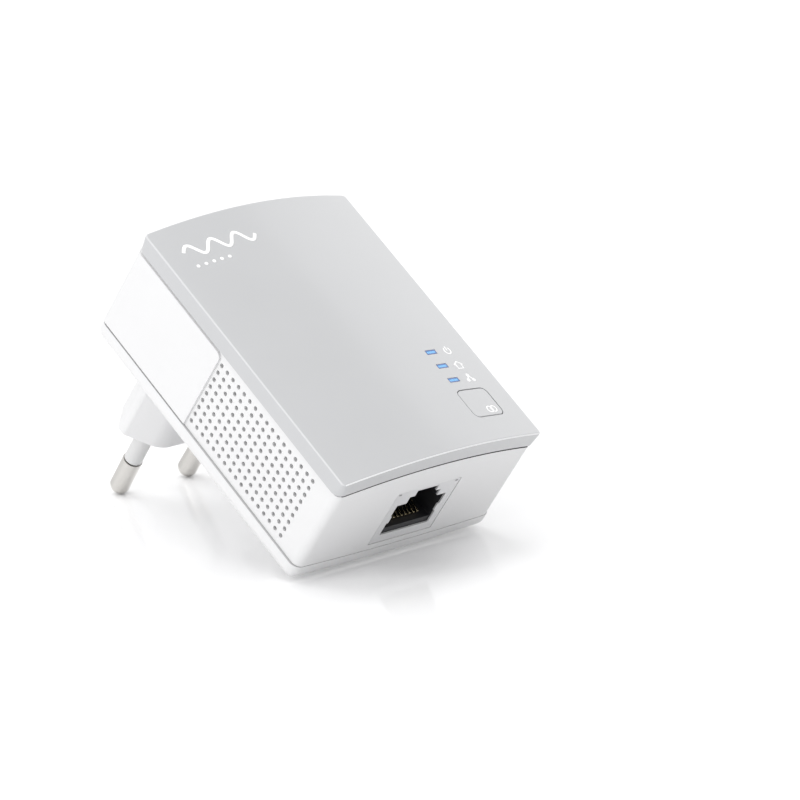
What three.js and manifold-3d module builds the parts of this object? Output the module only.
// Plug-in powerline network adapter: a crowned white case with a two-pin mains plug on its back,
// an RJ45 socket in its lower end, a sprung pairing button and three indicator windows.
// Millimetres, +Z up, the front faces -Y and the pins point +Y, into the wall.
import * as THREE from 'three';
import { mergeGeometries, mergeVertices } from 'three/addons/utils/BufferGeometryUtils.js';
import Module from 'manifold-3d';

const wasm = await Module();
wasm.setup();

// The case is drawn with Y = 0 at its back face and Z = 0 at its mid height.
const CASE_WIDTH = 51;
const CASE_HEIGHT = 65;
const EDGE_DEPTH = 25.5;        // back face to the front's side edges
const CROWN = 2.7;              // how far the front bulges past its side edges
const END_BOW = 0.39;           // bulge of the upper and lower end walls
const CORNER_RADIUS = 1.9;
const BAND = 3.3;               // depth of the front cover's side band
const BACK_BAND = 3.35;          // depth of the back cover's rim
const BACK_ROUND = 1.7;         // rounding of the back cover's rim
const SEAM_GAP = 0.45;
const COVER_WALL = 1.6;
const HOUSING_STEP = 0.5;       // the housing's sides sit this far inside the covers
const HOUSING_END_STEP = 0.1;
const HOUSING_WALL = 1.8;
const SEAM_Y = -(EDGE_DEPTH - BAND);
const CROWN_STEPS = 16;

// Raised smooth saddle round the upper half of the housing, and the vents below it
const SADDLE_LOW = 4.3;
const SADDLE_FRONT = -21.75;
const SADDLE_BACK = -3.65;
const SADDLE_CORNER = 1.5;
const VENT_COLUMNS = 9;
const VENT_ROWS = 17;
const VENT_PITCH = 1.817;
const VENT_FIRST_Y = -19.89;
const VENT_FIRST_Z = 3.43 - VENT_PITCH * 0.5 + 0.9;
const VENT_SIZE = 0.9;

// Plug: an oblong collar with two 4 mm pins that lean slightly together
const PLUG_LENGTH = 19;
const PLUG_HEIGHT = 21.75;      // pins above the middle of the case
const COLLAR_WIDTH = 34.6;
const COLLAR_HEIGHT = 12.8;
const COLLAR_FLAT = 23.6;
const COLLAR_SIDE = 1.8;
const COLLAR_CORNER = 5;
const COLLAR_EDGE = 1;
const COLLAR_WALL = 1.6;
const COLLAR_END = 2.2;
const PIN_RADIUS = 2;
const PIN_LENGTH = 19;
const PIN_BASE_X = 9.3;
const PIN_TIP_X = 8.75;
const SLEEVE_RADIUS = 1.82;
const SLEEVE_LENGTH = 10;

// Indicator windows and pairing button on the front
const WINDOW_X = 13.55;
const WINDOW_WIDTH = 2.7;
const WINDOW_HEIGHT = 0.95;
const WINDOW_Z = [-9.75, -13.37, -17.0];
const BUTTON_X = 15.65;
const BUTTON_Z = -23.1;
const BUTTON_WIDTH = 8.1;
const BUTTON_HEIGHT = 6.7;
const BUTTON_CORNER = 1.2;
const BUTTON_GAP = 0.16;

// Circuit boards
const BOARD_FRONT = -19.85;
const BOARD_BACK = -18.65;
const POWER_FRONT = -4.6;
const POWER_BACK = -3.4;
const SEAT = 0.04;              // air between a part and the board it is soldered to

// RJ45 socket
const JACK_HALF = 8;
const JACK_FRONT = -18.55;
const JACK_BACK = -4.9;
const JACK_MOUTH = -32.3;
const JACK_END = -12;
const SHIELD = 0.35;
const CONTACT_PITCH = 1.02;

const half = CASE_WIDTH / 2;
const crownY = (x, edgeY) => edgeY - CROWN * (1 - (x / half) ** 2);

function solidOf(geometry) {
  const bare = geometry.clone();
  bare.deleteAttribute('normal');
  bare.deleteAttribute('uv');
  const welded = mergeVertices(bare, 1e-4);
  const at = welded.attributes.position;
  const kept = [];
  for (let i = 0; i < welded.index.count; i += 3) {
    const [a, b, c] = [0, 1, 2].map((k) => welded.index.getX(i + k));
    if (a !== b && b !== c && c !== a) kept.push(a, b, c);
  }
  let volume = 0;
  const p = [new THREE.Vector3(), new THREE.Vector3(), new THREE.Vector3()];
  for (let i = 0; i < kept.length; i += 3) {
    p.forEach((v, k) => v.fromBufferAttribute(at, kept[i + k]));
    volume += p[0].dot(p[1].clone().cross(p[2]));
  }
  if (volume < 0) {
    for (let i = 0; i < kept.length; i += 3) [kept[i], kept[i + 1]] = [kept[i + 1], kept[i]];
  }
  return new wasm.Manifold(new wasm.Mesh({
    numProp: 3,
    vertProperties: new Float32Array(at.array),
    triVerts: new Uint32Array(kept),
  }));
}

const join = (first, ...others) => others.reduce((sum, other) => sum.add(other), first);
const cut = (first, ...others) => others.reduce((rest, other) => rest.subtract(other), first);
const common = (first, ...others) => others.reduce((rest, other) => rest.intersect(other), first);

const shapeOf = (points) => new THREE.Shape(points.map(([u, v]) => new THREE.Vector2(u, v)));

function alongZ(points, low, high) {
  const body = new THREE.ExtrudeGeometry(shapeOf(points), { depth: high - low, bevelEnabled: false });
  return solidOf(body.translate(0, 0, low));
}

function alongY(points, low, high) {
  const body = new THREE.ExtrudeGeometry(shapeOf(points), { depth: high - low, bevelEnabled: false });
  return solidOf(body.rotateX(Math.PI / 2).translate(0, high, 0));
}

const turnToX = new THREE.Matrix4().makeBasis(
  new THREE.Vector3(0, 1, 0), new THREE.Vector3(0, 0, 1), new THREE.Vector3(1, 0, 0));

function alongX(points, low, high) {
  const body = new THREE.ExtrudeGeometry(shapeOf(points), { depth: high - low, bevelEnabled: false });
  return solidOf(body.applyMatrix4(turnToX).translate(low, 0, 0));
}

function boxShape(x0, x1, y0, y1, z0, z1) {
  return new THREE.BoxGeometry(x1 - x0, y1 - y0, z1 - z0)
    .translate((x0 + x1) / 2, (y0 + y1) / 2, (z0 + z1) / 2);
}
const box = (...limits) => solidOf(boxShape(...limits));

function rodY(x, z, radius, low, high, sides = 16) {
  return solidOf(new THREE.CylinderGeometry(radius, radius, high - low, sides)
    .translate(x, (low + high) / 2, z));
}

function turned(profile, sides) {
  return new THREE.LatheGeometry(profile.map(([r, y]) => new THREE.Vector2(r, y)), sides);
}

// A polygon with every corner rounded, by one radius or by a list that repeats
function rounded(points, radii, steps) {
  const out = [];
  points.forEach(([x, y], i) => {
    const radius = Array.isArray(radii) ? radii[i % radii.length] : radii;
    const here = new THREE.Vector2(x, y);
    const before = new THREE.Vector2(...points.at(i - 1));
    const after = new THREE.Vector2(...points[(i + 1) % points.length]);
    const u = before.sub(here).normalize();
    const v = after.sub(here).normalize();
    const angle = Math.acos(u.dot(v));
    const centre = u.clone().add(v).normalize().multiplyScalar(radius / Math.sin(angle / 2)).add(here);
    const start = u.clone().multiplyScalar(radius / Math.tan(angle / 2)).add(here).sub(centre);
    const end = v.clone().multiplyScalar(radius / Math.tan(angle / 2)).add(here).sub(centre);
    let turn = end.angle() - start.angle();
    if (turn > Math.PI) turn -= 2 * Math.PI;
    if (turn < -Math.PI) turn += 2 * Math.PI;
    for (let k = 0; k <= steps; k += 1) {
      const spot = start.clone().rotateAround(new THREE.Vector2(), turn * k / steps).add(centre);
      out.push([spot.x, spot.y]);
    }
  });
  return out;
}

// Outline of the case seen from the front, drawn in from its outer face by inset
function caseOutline(inset, endInset = inset) {
  const w = half - inset;
  const radius = Math.max(CORNER_RADIUS - inset, 0.6);
  const endZ = (x) => CASE_HEIGHT / 2 - endInset - END_BOW * (x / half) ** 2;
  const flat = w - radius;
  const quarter = [];
  for (let k = 0; k <= 5; k += 1) {
    const a = (Math.PI / 2) * (k / 5);
    quarter.push([flat + radius * Math.cos(a), endZ(flat) - radius + radius * Math.sin(a)]);
  }
  const top = [];
  for (let k = 1; k < 8; k += 1) {
    const x = flat - (2 * flat * k) / 8;
    top.push([x, endZ(x)]);
  }
  const upper = [...quarter, ...top, ...quarter.map(([x, z]) => [-x, z]).reverse()];
  return [...upper, ...upper.map(([x, z]) => [-x, -z])];
}

// Everything behind a surface that bulges forwards like the front of the case
function behindCrown(edgeY) {
  const reach = half + 3;
  const points = [];
  for (let k = 0; k <= CROWN_STEPS; k += 1) {
    const x = -reach + (2 * reach * k) / CROWN_STEPS;
    points.push([x, crownY(x, edgeY)]);
  }
  points.push([reach, 8], [-reach, 8]);
  return alongZ(points, -40, 40);
}

const group = new THREE.Group();
group.name = 'powerline_adapter';
const toPlugFrame = new THREE.Vector3(0, -PLUG_LENGTH, -PLUG_HEIGHT);

function add(name, solid, colour, roughness, metalness = 0) {
  const result = solid.getMesh();
  const geometry = new THREE.BufferGeometry();
  const stride = result.numProp;
  const places = new Float32Array((result.vertProperties.length / stride) * 3);
  for (let i = 0; i < places.length / 3; i += 1) {
    places[i * 3] = result.vertProperties[i * stride] + toPlugFrame.x;
    places[i * 3 + 1] = result.vertProperties[i * stride + 1] + toPlugFrame.y;
    places[i * 3 + 2] = result.vertProperties[i * stride + 2] + toPlugFrame.z;
  }
  geometry.setAttribute('position', new THREE.BufferAttribute(places, 3));
  geometry.setIndex(new THREE.BufferAttribute(new Uint32Array(result.triVerts), 1));
  geometry.computeVertexNormals();
  const material = new THREE.MeshStandardMaterial({ color: colour, roughness, metalness });
  const mesh = new THREE.Mesh(geometry, material);
  mesh.name = name;
  group.add(mesh);
}

const WHITE = 0xf2f2f2;
const GREY_FRONT = 0xd2d3d5;
const BLACK = 0x141416;
const NICKEL = 0xb9b7b3;
const BOARD_GREEN = 0x1f5a37;
const CHIP = 0x1d1e20;

// Front cover: a crowned shell with its side band, three screw posts, windows and button opening
const COVER_POSTS = [[-19, 8], [19, 8], [-19, -26.5]];
{
  let cover = common(alongY(caseOutline(0), -40, 0), behindCrown(-EDGE_DEPTH));
  cover = cut(cover, behindCrown(SEAM_Y));
  const hollow = common(alongY(caseOutline(COVER_WALL), -40, 2), behindCrown(-EDGE_DEPTH + COVER_WALL));
  cover = cut(cover, hollow);
  const skin = behindCrown(-EDGE_DEPTH + 0.6);
  for (const [x, z] of COVER_POSTS) {
    cover = join(cover, common(rodY(x, z, 2.3, -29, BOARD_FRONT - 0.05, 12), skin));
    cover = cut(cover, rodY(x, z, 1.0, BOARD_FRONT - 4.2, BOARD_FRONT + 2, 12));
  }
  for (const z of WINDOW_Z) {
    cover = cut(cover, box(WINDOW_X - WINDOW_WIDTH / 2 - 0.06, WINDOW_X + WINDOW_WIDTH / 2 + 0.06, -30, -20,
      z - WINDOW_HEIGHT / 2 - 0.06, z + WINDOW_HEIGHT / 2 + 0.06));
  }
  const w = BUTTON_WIDTH / 2 + BUTTON_GAP;
  const h = BUTTON_HEIGHT / 2 + BUTTON_GAP;
  const opening = rounded([[BUTTON_X - w, BUTTON_Z - h], [BUTTON_X + w, BUTTON_Z - h],
    [BUTTON_X + w, BUTTON_Z + h], [BUTTON_X - w, BUTTON_Z + h]], BUTTON_CORNER + BUTTON_GAP, 3);
  add('front_cover', cut(cover, alongY(opening, -30, -20)), GREY_FRONT, 0.32);
}

// Main housing: an open tube with vents low on both sides and the socket opening in its lower end
{
  const outer = common(alongY(caseOutline(HOUSING_STEP, HOUSING_END_STEP), -40, -BACK_BAND - 0.06),
    behindCrown(SEAM_Y + SEAM_GAP));
  const saddleEdge = rounded([[SADDLE_FRONT, SADDLE_LOW], [SADDLE_BACK, SADDLE_LOW],
    [SADDLE_BACK, 36], [SADDLE_FRONT, 36]], SADDLE_CORNER, 3);
  const top = common(box(-30, 30, -30, SADDLE_BACK, CASE_HEIGHT / 2 - 1.2, 36),
    behindCrown(SEAM_Y + SEAM_GAP));
  const saddle = common(alongY(caseOutline(0), -40, 0), join(alongX(saddleEdge, -30, 30), top));
  const sill = common(alongY(caseOutline(0.95, 1.9), -40, SEAM_Y + SEAM_GAP + 0.3),
    behindCrown(SEAM_Y + 0.05));
  let housing = cut(join(outer, saddle, sill), alongY(caseOutline(HOUSING_STEP + HOUSING_WALL), -40, 2));
  const lip = cut(alongY(caseOutline(COVER_WALL + 0.15), -40, SEAM_Y + 2.5),
    alongY(caseOutline(COVER_WALL + 1.15), -41, 0));
  const lipRange = cut(behindCrown(SEAM_Y - 1.2), behindCrown(SEAM_Y + 2));
  housing = join(housing, common(lip, lipRange));
  housing = cut(housing, box(-JACK_HALF - 0.15, JACK_HALF + 0.15,
    JACK_FRONT - 0.15, JACK_BACK + 0.15, -36, -28));
  const holes = [];
  for (let row = 0; row < VENT_ROWS; row += 1) {
    for (let column = 0; column < VENT_COLUMNS; column += 1) {
      const hole = new THREE.CylinderGeometry(VENT_SIZE / 2, VENT_SIZE / 2, 5, 4).rotateZ(Math.PI / 2);
      const y = VENT_FIRST_Y + column * VENT_PITCH;
      const z = VENT_FIRST_Z - row * VENT_PITCH;
      holes.push(hole.clone().translate(half - 1.5, y, z), hole.translate(1.5 - half, y, z));
    }
  }
  add('main_housing', cut(housing, solidOf(mergeGeometries(holes))), WHITE, 0.4);
}

// Back cover: a shallow lid with a locating lip, two board posts and the hollow plug collar
function collarOutline(inset) {
  const w = COLLAR_WIDTH / 2 - inset;
  const h = COLLAR_HEIGHT / 2 - inset;
  const flat = COLLAR_FLAT / 2 - inset * 0.414;
  const side = COLLAR_SIDE / 2 - inset * 0.414;
  const corner = COLLAR_CORNER - inset;
  const edge = Math.max(COLLAR_EDGE - inset, 0.2);
  return rounded([[-w, -side], [-flat, -h], [flat, -h], [w, -side], [w, side], [flat, h], [-flat, h],
    [-w, side]], [edge, corner, corner, edge], 4).map(([x, z]) => [x, z + PLUG_HEIGHT]);
}
const POWER_SCREWS = [[19, 26.8], [-19, -5.2]];
{
  const half45 = BACK_ROUND * 0.293;
  let cover = wasm.Manifold.hull([alongY(caseOutline(0), -BACK_BAND, -BACK_ROUND),
    alongY(caseOutline(half45), -half45 - 0.1, -half45), alongY(caseOutline(BACK_ROUND), -0.1, 0)]);
  cover = cut(cover, alongY(caseOutline(2.45), -6, -2));
  cover = join(cover, cut(alongY(caseOutline(2.45), -4.4, -1.9), alongY(caseOutline(3.4), -5, -2)));
  for (const [x, z] of POWER_SCREWS) cover = join(cover, rodY(x, z, 2.2, POWER_BACK + 0.05, -1.8, 12));
  cover = join(cover, alongY(collarOutline(0), -0.5, PLUG_LENGTH));
  cover = cut(cover, alongY(collarOutline(COLLAR_WALL), -3, PLUG_LENGTH - COLLAR_END));
  for (const [x, z] of POWER_SCREWS) cover = cut(cover, rodY(x, z, 0.9, -5, -0.9, 12));
  for (const side of [-1, 1]) {
    const x = side * (PIN_BASE_X + 0.03);
    cover = cut(cover, rodY(x, PLUG_HEIGHT, SLEEVE_RADIUS + 0.1, PLUG_LENGTH - 4, PLUG_LENGTH + 1, 20));
  }
  add('back_cover', cover, WHITE, 0.4);
}

// Pins, their insulating sleeves, the plate that holds them and the blades that reach the power board
const lean = Math.atan((PIN_BASE_X - PIN_TIP_X) / PIN_LENGTH);
for (const [side, name] of [[-1, 'left'], [1, 'right']]) {
  const place = (shape) => solidOf(shape.rotateZ(side * lean)
    .translate(side * PIN_BASE_X, PLUG_LENGTH, PLUG_HEIGHT));
  const pin = turned([[0, -9.6], [2.6, -9.6], [2.6, -8.8], [1.55, -8.8], [1.55, SLEEVE_LENGTH + 0.05],
    [PIN_RADIUS, SLEEVE_LENGTH + 0.05], [PIN_RADIUS, PIN_LENGTH - 1.5], [1.82, PIN_LENGTH - 0.85],
    [1.4, PIN_LENGTH - 0.35], [0.8, PIN_LENGTH - 0.08], [0, PIN_LENGTH]], 20);
  add(`pin_${name}`, place(pin), NICKEL, 0.3, 1);
  const sleeve = turned([[1.62, -5], [SLEEVE_RADIUS, -5], [SLEEVE_RADIUS, SLEEVE_LENGTH],
    [1.62, SLEEVE_LENGTH], [1.62, -5]], 20);
  add(`pin_sleeve_${name}`, place(sleeve), WHITE, 0.45);
  const blade = alongX([[8.2, 19.95], [9.2, 19.95], [9.2, 24.4], [8.6, 24.4], [8.6, 20.55], [8.2, 20.55]],
    side * 9.6 - 1.5, side * 9.6 + 1.5);
  const drop = box(side * 9.6 - 1.5, side * 9.6 + 1.5, POWER_FRONT - 1, 8.4, 19.95, 20.55);
  add(`pin_blade_${name}`, join(blade, drop), 0xc9a15a, 0.35, 1);
}
{
  let plate = alongY(collarOutline(COLLAR_WALL + 0.2), 10.3, 12.3);
  for (const side of [-1, 1]) plate = cut(plate, rodY(side * 9.55, PLUG_HEIGHT, 1.75, 9, 13, 20));
  add('pin_holder', plate, 0xe6e6e2, 0.5);
}

// Main board with its indicator lamps, chips and light guide
const BOARD_SCREWS = COVER_POSTS;
{
  let board = box(-22.6, 22.6, BOARD_FRONT, BOARD_BACK, -29.5, 12);
  for (const [x, z] of BOARD_SCREWS) board = cut(board, rodY(x, z, 1.35, -22, -16, 12));
  add('main_board', board, BOARD_GREEN, 0.45);
  const chip = (name, x0, x1, z0, z1, height, colour = CHIP, shine = 0.5, metal = 0) => add(name,
    box(x0, x1, BOARD_FRONT - SEAT - height, BOARD_FRONT - SEAT, z0, z1), colour, shine, metal);
  chip('powerline_chip', -14, -2, -6, 6, 1.1);
  chip('memory_chip', -13, -5, -18.5, -9.5, 1.0);
  chip('flash_chip', 2, 7, -4, 1.2, 1.6);
  chip('crystal', 2, 7, 3.5, 6.7, 0.9, 0xb8bcc2, 0.3, 1);
  let fins = box(-13.5, -2.5, BOARD_FRONT - 2.2, BOARD_FRONT - 1.2, -5.5, 5.5);
  for (let k = 0; k < 5; k += 1) {
    const x = -13.1 + k * 2.45;
    fins = join(fins, box(x, x + 0.8, BOARD_FRONT - 3.8, BOARD_FRONT - 2.1, -5.5, 5.5));
  }
  add('chip_heatsink', fins, 0x9a9da2, 0.4, 1);
  WINDOW_Z.forEach((z, i) => {
    add(`indicator_lamp_${i + 1}`, box(WINDOW_X - 0.8, WINDOW_X + 0.8,
      BOARD_FRONT - 0.8, BOARD_FRONT - SEAT, z - 0.4, z + 0.4), 0x9fd0f2, 0.3);
  });
  let guide = box(WINDOW_X - 1.1, WINDOW_X + 1.1, -23.4, -22.6, WINDOW_Z[2] - 1.4, WINDOW_Z[0] + 1.4);
  for (const z of WINDOW_Z) {
    guide = join(guide, box(WINDOW_X - WINDOW_WIDTH / 2, WINDOW_X + WINDOW_WIDTH / 2,
      -29, BOARD_FRONT - 0.95, z - WINDOW_HEIGHT / 2, z + WINDOW_HEIGHT / 2));
  }
  add('light_guide', common(guide, behindCrown(-EDGE_DEPTH + 0.05)), 0x4f9fe0, 0.2);
}

// Pairing button over a sprung push switch
{
  const w = BUTTON_WIDTH / 2;
  const h = BUTTON_HEIGHT / 2;
  const face = rounded([[BUTTON_X - w, BUTTON_Z - h], [BUTTON_X + w, BUTTON_Z - h],
    [BUTTON_X + w, BUTTON_Z + h], [BUTTON_X - w, BUTTON_Z + h]], BUTTON_CORNER, 3);
  const cap = cut(common(alongY(face, -30, -22), behindCrown(-EDGE_DEPTH)), behindCrown(-EDGE_DEPTH + 1.9));
  const flange = box(BUTTON_X - 3, BUTTON_X + 2.4, -24.7, -24.1, BUTTON_Z - h - 1, BUTTON_Z + h + 1);
  const neck = box(BUTTON_X - 3, BUTTON_X + 2.4, -26, -24.2, BUTTON_Z - 2.6, BUTTON_Z + 2.6);
  const post = rodY(BUTTON_X, BUTTON_Z, 1.4, -24.3, -23.75, 12);
  add('pair_button', join(cap, flange, neck, post), GREY_FRONT, 0.32);
  const shell = cut(box(BUTTON_X - 3, BUTTON_X + 3, BOARD_FRONT - 3.1, BOARD_FRONT - SEAT,
    BUTTON_Z - 3, BUTTON_Z + 3), rodY(BUTTON_X, BUTTON_Z, 1.25, -24, -21.6, 12));
  add('switch_body', shell, 0x1b1b1d, 0.5);
  add('switch_plunger', rodY(BUTTON_X, BUTTON_Z, 1.1, -23.7, -22.15, 12), 0x2b2b2e, 0.5);
}

// RJ45 socket: thin metal shield, black insert and eight spring contacts
const throat = (grow, deep) => [
  box(-6.2 - grow, 6.2 + grow, -14.8 - grow, -7 + grow, -36, deep[0]),
  box(-3.85 - grow, 3.85 + grow, -16.5 - grow, -14, -36, deep[1]),
  box(-2.6 - grow, 2.6 + grow, -17.9 - grow, -14, -36, deep[2]),
];
{
  let shield = cut(box(-JACK_HALF, JACK_HALF, JACK_FRONT, JACK_BACK, JACK_MOUTH, JACK_END),
    box(-JACK_HALF + SHIELD, JACK_HALF - SHIELD, JACK_FRONT + SHIELD, JACK_BACK - SHIELD,
      JACK_MOUTH + SHIELD, JACK_END + 1), ...throat(0.1, [-30, -30, -30]));
  for (const side of [-1, 1]) {
    shield = cut(shield, box(side * 7.25 - 0.4, side * 7.25 + 0.4, -18.25, -17.85, -33, -31.9));
    shield = join(shield, box(side * 6.15 - 0.25, side * 6.15 + 0.25, -11.9, -10.1,
      JACK_MOUTH, JACK_MOUTH + SHIELD));
  }
  add('jack_shield', shield, 0xc9c9cb, 0.35, 1);
  const insert = cut(box(-7.6, 7.6, JACK_FRONT + 0.4, JACK_BACK - 0.4, JACK_MOUTH + 0.4, JACK_END - 0.5),
    box(-6.2, 6.2, -14.8, -8.3, -36, -17), box(-3.85, 3.85, -16.5, -14, -36, -22),
    box(-2.6, 2.6, -17.7, -14, -36, -26), box(-4.3, 4.3, -8.5, -6.6, -30.4, -19));
  add('jack_insert', insert, BLACK, 0.45);
  const wire = [[-8, -29.5], [-8.45, -30.75], [-9.15, -30.85], [-10.5, -25.25], [-10.2, -25.15],
    [-8.95, -30.5], [-8.62, -30.45], [-8.25, -29.45]];
  for (let k = 0; k < 8; k += 1) {
    const x = (k - 3.5) * CONTACT_PITCH;
    add(`jack_contact_${k + 1}`, alongX(wire, x - 0.2, x + 0.2), 0xd8b36a, 0.25, 1);
  }
  add('ethernet_transformer', box(-6.5, 6.5, BOARD_BACK + SEAT, BOARD_BACK + 2.4, -10.8, -3.6), CHIP, 0.5);
}

// Power board and the parts that turn mains into low voltage
{
  let board = box(-21.6, 21.6, POWER_FRONT, POWER_BACK, -7.6, 28.8);
  for (const [x, z] of POWER_SCREWS) board = cut(board, rodY(x, z, 1.2, -6, -2, 12));
  for (const side of [-1, 1]) {
    board = cut(board, box(side * 9.6 - 1.7, side * 9.6 + 1.7, -6, -2, 19.75, 20.75));
  }
  add('power_board', board, 0xb58b4a, 0.6);
  const top = POWER_FRONT - SEAT;
  add('filter_capacitor', box(-6.4, 6.4, top - 11, top, 13, 18), 0xd9c24a, 0.45);
  add('varistor', solidOf(new THREE.CylinderGeometry(3.6, 3.6, 3, 20).rotateX(Math.PI / 2)
    .translate(0, top - 4.4, 23)), 0x2f5fa8, 0.45);
  add('fuse', solidOf(new THREE.CylinderGeometry(1.6, 1.6, 11, 16).rotateZ(Math.PI / 2)
    .translate(-3, top - 1.7, 27)), 0xe2dccb, 0.4);
  const ring = cut(rodY(-16.5, 18.5, 4.6, top - 8, top, 20), rodY(-16.5, 18.5, 2.2, -20, 0, 16));
  add('choke_winding', ring, 0xa8562c, 0.45);
  add('choke_core', rodY(-16.5, 18.5, 2.05, top - 9, top, 16), 0x3a3a3c, 0.6);
  add('bridge_rectifier', box(12.8, 17.4, top - 2.5, top, 17.6, 21.6), CHIP, 0.5);
  add('bulk_capacitor', rodY(16.6, 11.4, 4, top - 11.6, top, 20), 0x23262c, 0.4);
  add('output_capacitor', rodY(16.8, 1.8, 3.15, top - 8.6, top, 20), 0x23262c, 0.4);
  const core = cut(box(-17.5, -3.5, top - 12.3, top - 1.6, -2.2, 11.2),
    box(-14.9, -6.1, -30, 0, -0.3, 9.3));
  add('transformer_core', join(core, box(-17.5, -3.5, top - 8, top - 5.6, -2.2, 11.2)), 0x343438, 0.6);
  const bobbin = cut(box(-14.7, -6.3, top - 13, top, -0.1, 9.1),
    box(-15, -6, top - 8.2, top - 5.4, -1, 10));
  const [low, high] = [cut(bobbin, box(-30, 30, -30, top - 6.8, -30, 30)),
    cut(bobbin, box(-30, 30, top - 6.8, 5, -30, 30))];
  add('transformer_bobbin', low, 0x3b2a22, 0.5);
  add('transformer_winding', high, 0xe0b64a, 0.45);
  add('coupling_transformer', box(-1.2, 6, top - 7.2, top, 2.4, 9.4), 0xcfd1d2, 0.5);
  add('board_socket', box(6.5, 16.5, -11.2, top, -6.9, -2.6), 0xe9e7dd, 0.5);
  add('board_header', box(7, 16, BOARD_BACK + SEAT, -11.25, -6.5, -3), 0x1b1b1d, 0.5);
}

// Screws: three hold the main board to the front cover's posts, two hold the power board to the back
function screw(x, z, headFrom, headTo, tipAt, headRadius) {
  const low = Math.min(headTo, tipAt);
  const high = Math.max(headFrom, tipAt);
  const shank = rodY(x, z, 0.85, tipAt < headFrom ? tipAt : headFrom, tipAt < headFrom ? headTo : high, 10);
  const head = rodY(x, z, headRadius, Math.min(headFrom, headTo), Math.max(headFrom, headTo), 14);
  const outer = tipAt < headFrom ? Math.max(headFrom, headTo) : low;
  return cut(join(shank, head), box(x - 1.1, x + 1.1, outer - 0.5, outer + 0.5, z - 0.2, z + 0.2),
    box(x - 0.2, x + 0.2, outer - 0.5, outer + 0.5, z - 1.1, z + 1.1));
}
BOARD_SCREWS.forEach(([x, z], i) => {
  add(`board_screw_${i + 1}`, screw(x, z, BOARD_BACK + SEAT, BOARD_BACK + 1.4, BOARD_FRONT - 3.6, 1.9),
    0x8f9195, 0.35, 1);
});
POWER_SCREWS.forEach(([x, z], i) => {
  add(`power_screw_${i + 1}`, screw(x, z, POWER_FRONT - SEAT, POWER_FRONT - 1.4, -1.2, 1.8),
    0x8f9195, 0.35, 1);
});

export default group;
